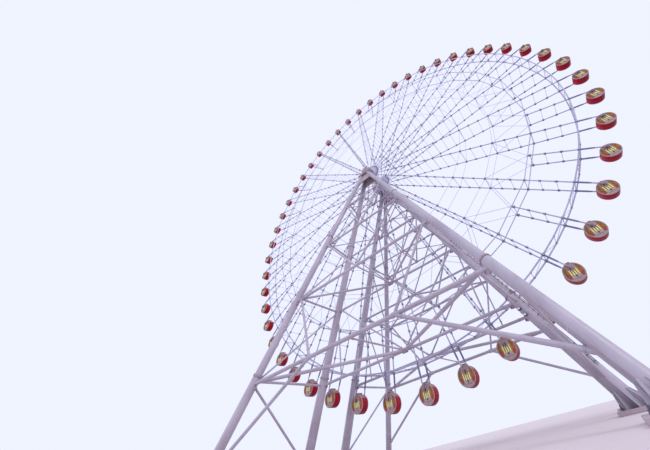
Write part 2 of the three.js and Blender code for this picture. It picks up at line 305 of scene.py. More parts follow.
def painted_steel(name, light, dark, stain, grime=0.3, spots=0.70, gloss=0.42):
    """Brushed-on steel paint: uneven tone, rain streaks, rust freckles and a slight orange peel."""
    finish = Finish(name, Coat_Weight=0.12, Coat_Roughness=0.25)
    tone = finish.ramp(finish.noise(2.2, 5), (0.32, linear(*dark)), (0.68, linear(*light)))
    streaks = finish.remap(finish.noise(9, 4, stretch=(3.0, 3.0, 0.22)), 0.52, 0.78, 0, grime)
    streaked = finish.blend(streaks, tone, linear(*stain))
    freckles = finish.remap(finish.noise(38, 6, roughness=0.7), spots, spots + 0.08, 0, 0.8)
    finish.colour(finish.blend(freckles, streaked, linear(*stain)))
    finish.uneven_gloss(14, 4, gloss - 0.10, gloss + 0.16)
    finish.bump(120, 3, 0.0006)
    return finish.material


def plain_finish(name, tone, gloss, grain=None, **sockets):
    """Mottled tones with uneven gloss and a fine grain; each starts with its noise's scale and detail."""
    finish = Finish(name, **sockets)
    scale, detail, *stops = tone
    stops = [(place, linear(*colour)) for place, colour in stops]
    finish.colour(finish.ramp(finish.noise(scale, detail), *stops))
    finish.uneven_gloss(*gloss)
    if grain:
        finish.bump(*grain)
    return finish.material


def shell_finish():
    """Crimson paint with dust here and there, darker towards the bottom of the drum."""
    shell = Finish("shell_red", Specular_IOR_Level=0.16)
    tone = shell.ramp(shell.noise(7, 4), (0.3, linear(152, 2, 32)), (0.7, linear(192, 6, 46)))
    lower = shell.remap(shell.height(), -0.15, -0.06, 0.6, 0.0)
    darker_below = shell.blend(lower, tone, linear(112, 0, 18))
    dust = shell.remap(shell.noise(26, 5, stretch=(1.0, 1.0, 0.5)), 0.6, 0.8, 0, 0.16)
    shell.colour(shell.blend(dust, darker_below, linear(170, 40, 54)))
    shell.uneven_gloss(30, 4, 0.30, 0.5)
    shell.bump(160, 2, 0.0004)
    return shell.material


def glass_finish():
    """Amber window glass with dim shapes behind it."""
    glass = Finish("amber_glass", Specular_IOR_Level=0.3, IOR=1.45)
    fade = glass.remap(glass.height(), -0.090, 0.030, 0, 1)
    clear = glass.ramp(fade, (0.0, linear(158, 72, 44)), (0.5, linear(184, 122, 40)),
                       (1.0, linear(140, 96, 36)))
    inside = glass.remap(glass.noise(34, 2, stretch=(1.0, 1.0, 0.35)), 0.46, 0.66, 0, 0.7)
    glass.colour(glass.blend(inside, clear, linear(84, 50, 26)))
    glass.uneven_gloss(50, 2, 0.05, 0.12)
    return glass.material


def make_materials():
    return {
        # The white and wheel paints are lavender-greys, darker than the white steel they stand for: painted
        # shade.
        "white": painted_steel("white_paint", (191, 183, 195), (167, 158, 171), (140, 114, 112), 0.25),
        "wheel": painted_steel("wheel_paint", (196, 194, 216), (176, 173, 198), (120, 102, 116), 0.2),
        # The hub paint is a lighter copy of the wheel paint: painted light on the hub, which sits in shade.
        "hub": painted_steel("hub_paint_with_painted_light", (220, 220, 238), (202, 201, 222), (150, 138, 150), 0.2),
        "joint": painted_steel("joint_paint", (144, 140, 166), (116, 112, 140), (96, 74, 80), gloss=0.5),
        "bearing": painted_steel("bearing_paint", (194, 180, 186), (168, 152, 160), (126, 98, 96),
                                 spots=0.68, gloss=0.55),
        "gusset": painted_steel("gusset_paint", (188, 170, 176), (162, 142, 150), (128, 98, 98),
                                spots=0.68, gloss=0.5),
        "roof": painted_steel("roof_paint", (186, 148, 150), (154, 118, 124), (112, 88, 94)),
        "cream": painted_steel("cream_panel", (184, 164, 158), (156, 136, 132), (124, 98, 92),
                               0.35, gloss=0.45),
        # The ladder's dark rail paint is partly the ladder's own colour and partly painted shade, the dark
        # line down the side of the leg.
        "rail": painted_steel("rail_paint_with_painted_shade", (104, 84, 92), (74, 58, 66), (96, 60, 52), 0.4, 0.62, 0.5),
        "shell": shell_finish(),
        "glass": glass_finish(),
        "bolt": plain_finish("bolt_steel", (60, 3, (0.35, (86, 80, 92)), (0.7, (140, 134, 148))),
                             (90, 2, 0.32, 0.6), (300, 2, 0.0003), Metallic=0.8),
        "pane": plain_finish("door_pane", (70, 2, (0.35, (62, 50, 18)), (0.65, (98, 80, 30))),
                             (50, 2, 0.05, 0.12), Specular_IOR_Level=0.3, IOR=1.45),
        "seat": plain_finish("seat_orange", (48, 3, (0.35, (158, 62, 42)), (0.65, (188, 96, 58))),
                             (60, 2, 0.1, 0.3), Specular_IOR_Level=0.3),
        "bright": plain_finish("door_frame", (40, 4, (0.3, (232, 226, 128)), (0.7, (250, 246, 170))),
                               (60, 3, 0.28, 0.46), (200, 2, 0.0003), Coat_Weight=0.1, Coat_Roughness=0.2),
        "dark": plain_finish("dark_trim", (48, 4, (0.3, (26, 20, 30)), (0.7, (52, 44, 58))),
                             (70, 3, 0.45, 0.7), (240, 2, 0.0004)),
        "lens": plain_finish("lamp_lens", (140, 2, (0.3, (188, 190, 214)), (0.7, (236, 236, 248))),
                             (90, 2, 0.1, 0.25), Coat_Weight=0.8, Coat_Roughness=0.08),
        "floor": plain_finish("pale_floor", (0.35, 4, (0.3, (214, 201, 201)), (0.7, (219, 206, 206))),
                              (1.5, 3, 0.8, 0.95)),
    }


MATERIALS = make_materials()


# Shapes.

def basis(axis):
    """Two unit vectors square to the axis, and the axis itself."""
    axis = axis.normalized()
    first = Y_AXIS if abs(axis.y) < 0.9 else UP
    side = axis.cross(first).normalized()
    return side, axis.cross(side), axis


BOXES = {}


def bevelled_box(size, bevel):
    key = (tuple(round(s, 5) for s in size), bevel)
    if key not in BOXES:
        mesh = bmesh.new()
        bmesh.ops.create_cube(mesh, size=1)
        bmesh.ops.scale(mesh, vec=Vector(size), verts=mesh.verts)
        if bevel:
            bmesh.ops.bevel(mesh, geom=mesh.edges[:], offset=bevel, segments=1, affect="EDGES")
        mesh.verts.index_update()
        BOXES[key] = ([v.co.copy() for v in mesh.verts],
                      [[v.index for v in face.verts] for face in mesh.faces])
        mesh.free()
    return BOXES[key]


class Shape:
    """Collects forms, each with its own material, into one mesh."""

    def __init__(self, *finishes):
        self.finishes = list(finishes)
        self.verts = []
        self.faces = []
        self.slots = []

    def add(self, verts, faces, finish):
        base = len(self.verts)
        slot = self.finishes.index(finish)
        self.verts.extend(verts)
        for face in faces:
            self.faces.append([base + i for i in face])
            self.slots.append(slot)

    def turned(self, start, axis, profile, finish, sides):
        """A solid of revolution: profile is a list of (distance along the axis, radius)."""
        u, v, w = basis(axis)
        verts = []
        for distance, radius in profile:
            middle = start + w * distance
            for k in range(sides):
                angle = 2 * math.pi * k / sides
                verts.append(middle + (u * math.cos(angle) + v * math.sin(angle)) * radius)
        faces = []
        for row in range(len(profile) - 1):
            low, high = row * sides, (row + 1) * sides
            for k in range(sides):
                after = (k + 1) % sides
                faces.append([low + k, low + after, high + after, high + k])
        faces.append(list(range(sides))[::-1])
        faces.append([(len(profile) - 1) * sides + k for k in range(sides)])
        self.add(verts, faces, finish)

    def tube(self, a, b, radius, finish, sides):
        self.turned(a, b - a, [(0, radius), ((b - a).length, radius)], finish, sides)

    def disc(self, middle, axis, radius, thickness, finish, sides, bevel=0.0):
        half = thickness / 2
        if bevel:
            profile = [(-half, radius - bevel), (-half + bevel, radius), (half - bevel, radius),
                       (half, radius - bevel)]
        else:
            profile = [(-half, radius), (half, radius)]
        self.turned(middle, axis, profile, finish, sides)

    def box(self, middle, size, finish, axes=None, bevel=0.0):
        verts, faces = bevelled_box(size, bevel)
        if axes:
            x, y, z = axes
            verts = [middle + x * p.x + y * p.y + z * p.z for p in verts]
        else:
            verts = [middle + p for p in verts]
        self.add(verts, faces, finish)

    def plate(self, outline, thickness, finish):
        """A flat plate of any outline, thickened to both sides of its own plane."""
        normal = Vector((0, 0, 0))
        for k, point in enumerate(outline):
            normal += point.cross(outline[(k + 1) % len(outline)])
        normal.normalize()
        count = len(outline)
        verts = [p + normal * thickness / 2 for p in outline]
        verts += [p - normal * thickness / 2 for p in outline]
        faces = [list(range(count)), [count + k for k in range(count)][::-1]]
        for k in range(count):
            after = (k + 1) % count
            faces.append([k, count + k, count + after, after])
        self.add(verts, faces, finish)

    def hoop(self, points, radius, finish, sides):
        """A round bar along a closed line that lies square to Y."""
        count = len(points)
        verts = []
        for k, point in enumerate(points):
            before, after = points[k - 1], points[(k + 1) % count]
            along = (after - before).normalized()
            outward = along.cross(Y_AXIS).normalized()
            turn = (point - before).angle(after - point) / 2
            wide = radius / math.cos(turn)
            for j in range(sides):
                angle = 2 * math.pi * j / sides
                verts.append(point + outward * wide * math.cos(angle) + Y_AXIS * radius * math.sin(angle))
        faces = []
        for k in range(count):
            low, high = k * sides, ((k + 1) % count) * sides
            for j in range(sides):
                after = (j + 1) % sides
                faces.append([low + j, high + j, high + after, low + after])
        self.add(verts, faces, finish)

    def bolts(self, middle, axis, ring, radius, head, count, finish, phase=0.0):
        """A circle of hexagon heads standing on a face."""
        u, v, w = basis(axis)
        for k in range(count):
            angle = phase + 2 * math.pi * k / count
            foot = middle + (u * math.cos(angle) + v * math.sin(angle)) * ring
            self.turned(foot, w, [(0, radius), (head * 0.8, radius), (head, radius * 0.8)], finish, 6)

    def mesh(self, name, smooth_angle=SMOOTH_ANGLE):
        made = bpy.data.meshes.new(name)
        made.from_pydata([tuple(v) for v in self.verts], [], self.faces)
        for finish in self.finishes:
            made.materials.append(MATERIALS[finish])
        made.polygons.foreach_set("material_index", self.slots)
        made.validate()
        work = bmesh.new()
        work.from_mesh(made)
        bmesh.ops.recalc_face_normals(work, faces=work.faces)
        work.to_mesh(made)
        work.free()
        made.shade_smooth()
        made.set_sharp_from_angle(angle=math.radians(smooth_angle))
        made.update()
        return made

    def piece(self, name, body, replaces=(), slot=None):
        place(name, self.mesh(name), body, replaces, slot)


def place(name, mesh, body, replaces=(), slot=None, at=(0, 0, 0)):
    thing = bpy.data.objects.new(name, mesh)
    thing.location = at
    bpy.context.scene.collection.objects.link(thing)
    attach(thing, body)
    if replaces:
        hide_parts(*replaces)


# Wheel.

def spoke_half(radius):
    share = (radius - SPOKE_ROOT) / (PIVOT_RADIUS - SPOKE_ROOT)
    return SPOKE_HALF_HUB + (SPOKE_HALF_RIM - SPOKE_HALF_HUB) * share


def wheel_point(steps, radius, y):
    angle = steps * CABIN_STEP
    return Vector((radius * math.sin(angle), y, HUB_HEIGHT + radius * math.cos(angle)))


def on_axle(y):
    return Vector((0, y, HUB_HEIGHT))


def radial_way(angle):
    """Away from the axle, at an angle from the top."""
    return Vector((math.sin(angle), 0, math.cos(angle)))


def turning_way(angle):
    """Square to radial_way, in the wheel's plane."""
    return Vector((math.cos(angle), 0, -math.sin(angle)))


def wheel_side(where, side):
    """One side of the wheel: spokes with their fittings, stays, rings and the plate on the hub."""
    shape = Shape("wheel", "hub", "joint", "bolt", "lens", "roof")
    outward = Y_AXIS * side

    def at(steps, radius):
        return wheel_point(steps, radius, side * spoke_half(radius))

    short_start = INNER_RING * math.cos(CABIN_STEP)
    for i in range(CABIN_COUNT):
        is_long = i % 2 == 0
        a, b = at(i, SPOKE_ROOT if is_long else short_start), at(i, SPOKE_END)
        along = (b - a).normalized()
        across = turning_way(i * CABIN_STEP)
        axes = (across, along.cross(across), along)
        lug_foot = at(i, SPOKE_END - END_LUG)
        shape.tube(a, lug_foot, SPOKE_TUBE, "wheel", 12)
        shape.tube(lug_foot, b, SPOKE_TUBE, "roof", 12)
        for k in range(LONG_RUNGS if is_long else SHORT_RUNGS):
            spot = at(i, OUTER_RING - k * RUNG_STEP)
            if k % MAIN_RUNG_EVERY == 0:
                for hand in (-1, 1):
                    shape.disc(spot + along * hand * COUPLING_SHIFT, along, *COUPLING, "joint", 10)
            shape.disc(spot, along, *SOCKET, "joint", 10, CLAMP_BEVEL)
            lamp = spot + outward * LAMP_STAND
            shape.box(lamp, LAMP, "joint", axes, 0.002)
            shape.box(lamp + outward * LENS_STAND, LAMP_LENS, "lens", axes)
        eye = wheel_point(i, PIVOT_RADIUS, side * SPOKE_HALF_RIM)
        shape.disc(eye, Y_AXIS, *EYE, "joint", 16, 0.002)
        shape.bolts(eye + outward * EYE[1] / 2, outward, 0, 0.006, 0.004, 1, "joint")
        clamp = at(i, OUTER_RING)
        shape.box(clamp, OUTER_CLAMP, "wheel", axes, CLAMP_BEVEL)
        shape.turned(clamp, along, [(0, SPOKE_SLEEVE), (SLEEVE_LENGTH * 0.75, SPOKE_SLEEVE),
                                    (SLEEVE_LENGTH, SPOKE_TUBE)], "joint", 12)
        if is_long:
            shape.box(at(i, INNER_RING), INNER_CLAMP, "wheel", axes, CLAMP_BEVEL)
        else:
            shape.box(at(i, short_start), SHORT_CLAMP, "wheel", axes, CLAMP_BEVEL)
            for neighbour in (-1, 1):
                shape.tube(at(i, short_start), at(i + neighbour, STAY_FOOT), STAY_TUBE, "wheel", 6)
    shape.hoop([at(k / 2, OUTER_RING) for k in range(2 * CABIN_COUNT)], OUTER_RING_TUBE, "wheel", 8)
    long_spokes = range(0, CABIN_COUNT, 2)
    shape.hoop([at(i, INNER_RING) for i in long_spokes], INNER_RING_TUBE, "wheel", 8)
    for radius in STAY_RINGS:
        shape.hoop([at(i, radius) for i in long_spokes], STAY_TUBE, "wheel", 6)

    centre = on_axle(side * (HUB_HALF + HUB_PLATE_THICKNESS / 2))
    half = HUB_PLATE_THICKNESS / 2 - SKIN
    edge, step = 0.003, 0.004
    # The plate on the hub takes the lighter hub paint: painted light.
    shape.turned(centre, outward,
                 [(-half, HUB_PLATE - edge), (-half + edge, HUB_PLATE), (half - 2 * step, HUB_PLATE),
                  (half - step, HUB_PLATE - 2 * edge), (half - step, BOSS), (half, BOSS - step),
                  (half, HUB_PLATE_HOLE)], "hub", HUB_SIDES)
    shape.bolts(centre + outward * half, outward, BOSS_BOLTS, 0.0085, 0.008, 24, "bolt")
    for i in long_spokes:
        across = turning_way(i * CABIN_STEP)
        for hand in (-1, 1):
            shape.box(at(i, EAR_AT) + across * hand * EAR_SHIFT, EAR, "wheel",
                      (across, outward, radial_way(i * CABIN_STEP)), 0.0015)
        pin_start = at(i, EAR_PIN_AT) - across * EAR_PIN[0] / 2
        shape.turned(pin_start, across, [(0, EAR_PIN[1]), EAR_PIN], "bolt", 8)
    shape.piece(f"{where}_wheel_lattice", "wheel", (f"{where}_wheel_side",), "wheel_paint")


def cross_members():
    """Rungs between the two sides of the wheel and the lacing of its outer ring."""
    shape = Shape("wheel", "joint")
    half = spoke_half(OUTER_RING) - RUNG_INSET
    for i in range(CABIN_COUNT):
        for k in range(LONG_RUNGS if i % 2 == 0 else SHORT_RUNGS):
            radius = OUTER_RING - k * RUNG_STEP
            reach = spoke_half(radius) - RUNG_INSET
            size = MAIN_RUNG_TUBE if k % MAIN_RUNG_EVERY == 0 else MINOR_RUNG_TUBE
            shape.tube(wheel_point(i, radius, -reach), wheel_point(i, radius, reach), size, "wheel", 6)
        middle = [wheel_point(i + 0.5, OUTER_RING, y) for y in (-half, half)]
        shape.tube(*middle, RUNG_TUBE, "wheel", 6)
        for spot in middle:
            shape.disc(spot, Y_AXIS, *RING_JOINT, "joint", 8)
        shape.tube(wheel_point(i, OUTER_RING, -half), middle[1], LACING_TUBE, "wheel", 6)
        shape.tube(middle[1], wheel_point(i + 1, OUTER_RING, -half), LACING_TUBE, "wheel", 6)
    shape.piece("wheel_cross_members", "wheel", slot="wheel_paint")


def hub():
    """The barrel between two flanges, with ribs and a ring of bolts inside each flange."""
    shape = Shape("hub", "bolt")
    edge, fillet = 0.003, 0.012
    inner = HUB_FLANGE_THICKNESS
    first_half = [(0.0, AXLE + 0.002), (0.0, HUB_FLANGE - edge), (edge, HUB_FLANGE),
                  (inner - edge, HUB_FLANGE), (inner, HUB_FLANGE - edge), (inner, HUB_BARREL + fillet),
                  (inner + fillet, HUB_BARREL)]
    mirrored = [(2 * HUB_HALF - distance, radius) for distance, radius in reversed(first_half)]
    # Barrel, flanges and ribs take the lighter hub paint: painted light.
    shape.turned(on_axle(-HUB_HALF), Y_AXIS, first_half + mirrored, "hub", HUB_SIDES)
    walls = [(side, on_axle(side * (HUB_HALF - inner))) for side in (-1, 1)]
    for k in range(HUB_RIBS):
        radial = radial_way(2 * math.pi * k / HUB_RIBS)
        for side, wall in walls:
            root = wall + radial * (HUB_BARREL - 0.004)
            tip = root - Y_AXIS * side * HUB_RIB_LENGTH
            shape.plate([root, wall + radial * HUB_RIB_REACH, tip], 0.008, "hub")
    for side, wall in walls:
        shape.bolts(wall, Y_AXIS * -side, HUB_BOLTS, 0.007, 0.007, 24, "bolt", phase=0.13)
    shape.piece("hub_casting", "wheel", ("hub",), "bearing_steel")


def axle_and_bearings():
    """The axle and its two pillow blocks: head plate, ribbed foot, split housing, end cap and seal."""
    shape = Shape("bearing", "gusset", "bolt", "dark")
    inner, outer = BEARING_MIDDLE - BEARING_HALF_DEPTH, BEARING_MIDDLE + BEARING_HALF_DEPTH
    depth = 2 * BEARING_HALF_DEPTH
    round_depth = depth * 0.9
    plate_depth = HEAD_PLATE_REACH - inner
    foot_top, rib_height, bolt_radius = 0.028, 0.150, 0.010
    pedestal, pedestal_at = (0.190, depth - 0.030, 0.170), 0.112
    flange, flange_at = (2 * BEARING_HALF_WIDTH, depth - 0.020, 0.036), -0.010
    grease_box, grease_box_at = (0.030, 0.060, 0.010), 0.0885
    cap, cap_bolts, edge, shoulder = AXLE_CAP_LENGTH, 0.060, 0.008, 0.012
    shape.turned(on_axle(-outer), Y_AXIS, [(0, AXLE - SKIN), (2 * outer, AXLE - SKIN)],
                 "bearing", ROUND_SIDES)
    for side in (-1, 1):
        outward = Y_AXIS * side
        middle = on_axle(side * BEARING_MIDDLE)
        bottom = middle - UP * BEARING_BOTTOM
        plate_middle = Vector((0, side * (inner + plate_depth / 2), bottom.z + HEAD_PLATE_THICKNESS / 2))
        shape.box(plate_middle, (2 * HEAD_PLATE_HALF_WIDTH, plate_depth, HEAD_PLATE_THICKNESS), "gusset",
                  bevel=0.003)
        shape.box(bottom + UP * pedestal_at, pedestal, "bearing", bevel=0.006)
        for x in (-0.105, 0.105):
            for y in (-0.045, 0.0, 0.045):
                foot = bottom + Vector((x, y, foot_top))
                shape.plate([foot, foot + Vector((-x * 0.15, 0, rib_height)),
                             foot + Vector((-x * 0.4, 0, rib_height)), foot + Vector((-x * 0.4, 0, 0))],
                            0.010, "gusset")
            for y in (-0.062, 0.062):
                shape.bolts(bottom + Vector((x, y, foot_top)), UP, 0, bolt_radius, 0.012, 1, "bolt")
        shape.box(middle + UP * flange_at, flange, "bearing", bevel=0.004)
        for x in (-0.108, 0.108):
            for y in (-0.040, 0.040):
                shape.bolts(middle + Vector((x, y, 0.008)), UP, 0, bolt_radius, 0.020, 1, "bolt")
        shape.turned(middle - outward * round_depth / 2, outward,
                     [(0, 0.080), (edge, 0.090), (shoulder, BEARING_TOP - SKIN),
                      (round_depth - shoulder, BEARING_TOP - SKIN), (round_depth - edge, 0.090),
                      (round_depth, 0.080)], "bearing", ROUND_SIDES)
        shape.box(middle + UP * grease_box_at, grease_box, "gusset", bevel=0.002)
        face = middle + outward * BEARING_HALF_DEPTH
        shape.turned(face - outward * edge, outward,
                     [(0, AXLE_CAP), (cap * 0.6, AXLE_CAP), (cap, AXLE_CAP - edge), (cap, 0.040),
                      (cap + 0.006, 0.036)], "gusset", ROUND_SIDES)
        shape.bolts(face + outward * (cap - edge), outward, cap_bolts, 0.006, 0.006, 12, "bolt")
        shape.turned(middle - outward * (BEARING_HALF_DEPTH + 0.006), outward,
                     [(0, SEAL_RADIUS), (0.012, SEAL_RADIUS)], "dark", ROUND_SIDES)
    shape.piece("axle_in_pillow_blocks", "support", ("axle_and_bearings",), "bearing_steel")


# Support frames.

def leg_axis(foot, head, hand, side):
    return (Vector((hand * foot[0], side * foot[1], 0)), on_axle(side * head))


def outer_leg(hand, side):
    return leg_axis(OUTER_FOOT, OUTER_HEAD, hand, side)


def inner_leg(hand, side):
    return leg_axis(INNER_FOOT, INNER_HEAD, hand, side)


def along_leg(axis, share):
    return axis[0].lerp(axis[1], share)


def leg_radius(radii, share):
    return radii[0] if share < SPLICES[0] else radii[1] if share < SPLICES[1] else radii[2]


def ties_between(left, right):
    return [(along_leg(left, share), along_leg(right, share)) for share in TIE_LEVELS]


def middle_of(tie):
    return tie[0].lerp(tie[1], 0.5)


def inset(a, b, distance):
    return a + (b - a).normalized() * distance


def cut_piece(shape, name, node):
    """A support piece, trimmed flat under the bearings and at the ground, and closed there."""
    mesh = shape.mesh(name)
    work = bmesh.new()
    work.from_mesh(mesh)
    for height, up in ((HUB_HEIGHT - BEARING_BOTTOM - 0.0003, 1), (0.0004, -1)):
        geometry = work.verts[:] + work.edges[:] + work.faces[:]
        cut = bmesh.ops.bisect_plane(work, geom=geometry, plane_co=(0, 0, height), plane_no=(0, 0, up),
                                     clear_outer=True)
        rim = [item for item in cut["geom_cut"] if isinstance(item, bmesh.types.BMEdge)]
        bmesh.ops.holes_fill(work, edges=rim)
    work.to_mesh(mesh)
    work.free()
    place(name, mesh, "support", (node,), "white_paint")


def leg_tube(shape, axis, radii):
    """A leg in three lengths of tube, with bolted splice flanges, weld beads and its base plate."""
    foot, top = axis
    along = (top - foot).normalized()
    length = (top - foot).length
    profile = [(0.0, radii[0])]
    for n, share in enumerate(SPLICES):
        spot = length * share
        profile += [(spot - COLLAR_LENGTH / 2, radii[n]), (spot + COLLAR_LENGTH / 2, radii[n + 1])]
    profile.append((length, radii[2]))
    shape.turned(foot, along, profile, "white", LEG_SIDES)
    for n, share in enumerate(SPLICES):
        wide = radii[n] + COLLAR_EXTRA
        for hand in (-1, 1):
            spot = foot + along * (length * share + hand * SPLICE_SHIFT)
            shape.disc(spot, along, wide, SPLICE_FLANGE, "gusset", LEG_SIDES, 0.001)
            face = spot + along * hand * SPLICE_BOLT_SHIFT
            shape.bolts(face, along * hand, wide - 0.0040, 0.0024, 0.004, SPLICE_BOLTS, "bolt")
    welds = int(length / WELD_STEP)
    for k in range(1, welds):
        share = k / welds
        if share < LAST_WELD and all(abs(share - splice) > WELD_CLEARANCE for splice in SPLICES):
            radius = leg_radius(radii, share)
            bead = [(0, radius), (WELD_HALF, radius + 0.0010), (2 * WELD_HALF, radius)]
            shape.turned(foot + along * (length * share - WELD_HALF), along, bead, "white", LEG_SIDES)
    base_plate(shape, foot, along, radii[0])


def base_plate(shape, foot, along, radius):
    """Foot plate with stiffeners up the leg and anchor bolts."""
    shape.box(foot + UP * FOOT_PLATE_THICKNESS / 2, (FOOT_PLATE, FOOT_PLATE, FOOT_PLATE_THICKNESS), "gusset",
              bevel=0.002)
    base = foot + UP * FOOT_PLATE_THICKNESS
    high = base + along / along.z * STIFFENER_RISE
    inner = radius * 0.92
    for k in range(STIFFENERS):
        angle = 2 * math.pi * k / STIFFENERS
        radial = Vector((math.cos(angle), math.sin(angle), 0))
        shape.plate([base + radial * inner, base + radial * 0.115, base + radial * 0.110 + UP * 0.012,
                     high + radial * (inner + 0.010), high + radial * inner], 0.008, "white")
        angle += math.pi / STIFFENERS
        stud = base + Vector((math.cos(angle), math.sin(angle), 0)) * ANCHOR_AT
        for low, top, wide, sides in ANCHOR_BOLT:
            shape.turned(stud, UP, [(low, wide), (top, wide)], "bolt", sides)


def leg(name, axis, radii):
    shape = Shape("white", "gusset", "bolt")
    leg_tube(shape, axis, radii)
    cut_piece(shape, name + "_tube", name)


def gusset(shape, corner, first, second, reach):
    """A plate in the corner between two members."""
    a, b = first.normalized(), second.normalized()
    outline = [corner, corner + a * reach, corner + a * reach * 0.96 + b * reach * 0.22,
               corner + b * reach * 0.96 + a * reach * 0.22, corner + b * reach]
    shape.plate(outline, GUSSET_THICKNESS, "gusset")


def lug(shape, axis, share, radius, target, reach):
    """A rounded connection plate that stands out of a leg towards a brace."""
    spot = along_leg(axis, share)
    up = (axis[1] - axis[0]).normalized()
    way = (target - spot - up * (target - spot).dot(up)).normalized()
    half = reach * 0.62
    corners = ((radius * 0.8, -half), (radius * 0.8, half), (radius + reach * 0.70, half * 0.55),
               (radius + reach, half * 0.10), (radius + reach * 0.90, -half * 0.35),
               (radius + reach * 0.35, -half * 0.90))
    shape.plate([spot + way * far + up * high for far, high in corners], LUG_THICKNESS, "gusset")
    pin = up.cross(way)
    shape.turned(spot + way * (radius + reach * 0.6) - pin * LUG_THICKNESS, pin,
                 [(0, LUG_BOLT), (2 * LUG_THICKNESS, LUG_BOLT)], "bolt", 10)


def flanged_tube(shape, a, b, radius, flange_at, sides):
    """A round brace with a pair of flanges near each end."""
    shape.tube(a, b, radius, "white", sides)
    along = (b - a).normalized()
    for end, way in ((a, along), (b, -along)):
        spot = end + way * flange_at
        for hand in (-1, 1):
            shape.disc(spot + along * hand * BRACE_SHIFT, along, radius + BRACE_EXTRA,
                       BRACE_FLANGE, "white", sides, 0.001)


def inner_frame(where, side):
    """The upright pair of legs beside the wheel with the ties between them."""
    shape = Shape("white", "gusset", "bolt")
    left, right = inner_leg(-1, side), inner_leg(1, side)
    leg_tube(shape, left, INNER_LEG)
    leg_tube(shape, right, INNER_LEG)
    for (a, b), share, radius in zip(ties_between(left, right), TIE_LEVELS, INNER_TIES):
        flanged_tube(shape, a, b, radius, TIE_END, 14)
        for axis, other in ((left, b), (right, a)):
            lug(shape, axis, share, leg_radius(INNER_LEG, share), other, 0.040)
        shape.box((a + b) / 2, (0.080, 0.010, 0.060), "gusset", bevel=0.003)
    cut_piece(shape, f"{where}_inner_frame_tubes", f"{where}_inner_frame")


def bracing(where, side):
    """Ties, V diagonals and knees of the raking face, with the struts and braces at its levels."""
    shape = Shape("white", "gusset", "bolt")
    left, right = outer_leg(-1, side), outer_leg(1, side)
    ties = ties_between(left, right)
    inner_legs = inner_leg(-1, side), inner_leg(1, side)
    inner_ties = ties_between(*inner_legs)
    for (a, b), share, radius in zip(ties, TIE_LEVELS, OUTER_TIES):
        flanged_tube(shape, a, b, radius, TIE_END, 18)
        for axis, other in ((left, b), (right, a)):
            lug(shape, axis, share, leg_radius(OUTER_LEG, share), other, 0.030 + radius)
    knees = [inset(middle_of(ties[0]), end, KNEE_ON_TIE) for end in ties[0]]
    for axis, start in ((left, knees[0]), (right, knees[1])):
        flanged_tube(shape, start, along_leg(axis, KNEE_ON_LEG), KNEE, BRACE_END, 14)
        shape.box(start, (0.066, 0.010, 0.052), "white", bevel=0.003)
    for i, high in enumerate(ties[1:]):
        starts = knees if i == 0 else [middle_of(ties[i])] * 2
        for start, end, other in ((starts[0], high[0], high[1]), (starts[1], high[1], high[0])):
            flanged_tube(shape, start, end.lerp(other, DIAGONAL_END), DIAGONAL, BRACE_END, 12)
        if i:
            shape.box(middle_of(ties[i]), (0.064, 0.010, 0.048), "white", bevel=0.003)
    for i, (a, b) in enumerate(ties):
        for end, away, axis in ((a, b, inner_legs[0]), (b, a, inner_legs[1])):
            start = inset(end, away, STRUT_ON_TIE)
            shape.tube(start, along_leg(axis, TIE_LEVELS[i]), STRUT, "white", 12)
            if i < len(LEVEL_BRACES):
                shape.tube(start, middle_of(inner_ties[i]), LEVEL_BRACES[i], "white", 14)
            gusset(shape, start, away - end, middle_of(inner_ties[i]) - start, GUSSET_REACH)
    shape.piece(f"{where}_frame_bracing", "support", (f"{where}_bracing",), "white_paint")


def fine_bracing(where, side):
    """Slender members: V diagonals of the upright frame, level braces and the faces over the feet."""
    shape = Shape("white", "gusset")
    outer = outer_leg(-1, side), outer_leg(1, side)
    inner = inner_leg(-1, side), inner_leg(1, side)
    ties = ties_between(*outer)
    inner_ties = ties_between(*inner)

    def rod(a, b, radius):
        shape.tube(a, b, radius, "white", 10)
        along = (b - a).normalized()
        for end, way in ((a, along), (b, -along)):
            shape.disc(end + way * 0.06, along, radius + 0.004, 0.008, "gusset", 10, 0.001)

    for i, (a, b) in enumerate(inner_ties):
        middle = middle_of((a, b))
        rod(middle_of(ties[i]), middle, SLIM_BRACE)
        if i >= len(LEVEL_BRACES):
            for end in ties[i]:
                rod(end, middle, SLIM_LEVEL)
        if i + 1 < len(inner_ties):
            high = inner_ties[i + 1]
            for end, other in ((0, 1), (1, 0)):
                rod(middle, high[end].lerp(high[other], 0.04), SLIM_DIAGONAL)
                rod(along_leg(inner[end], TIE_LEVELS[i + 1]), ties[i][end], SLIM_DIAGONAL)
    for hand in (0, 1):
        rod(ties[0][hand], along_leg(inner[hand], 0.04), FOOT_BRACE)
        low = middle_of(inner_ties[0]).lerp(inner_ties[0][hand], 0.75)
        rod(along_leg(inner[hand], TIE_LEVELS[1]), low, SLIM_BRACE)
    shape.piece(f"{where}_fine_bracing", "support", slot="white_paint")


def frame_heads():
    """Webs between the legs where they gather under the bearings."""
    shape = Shape("gusset")
    low, high = HEAD_WEB_SHARES
    for side in (-1, 1):
        for make in (outer_leg, inner_leg):
            left, right = make(-1, side), make(1, side)
            shape.plate([along_leg(left, low), along_leg(right, low), along_leg(right, high),
                         along_leg(left, high)], 0.014, "gusset")
    shape.piece("frame_heads", "support", slot="white_paint")


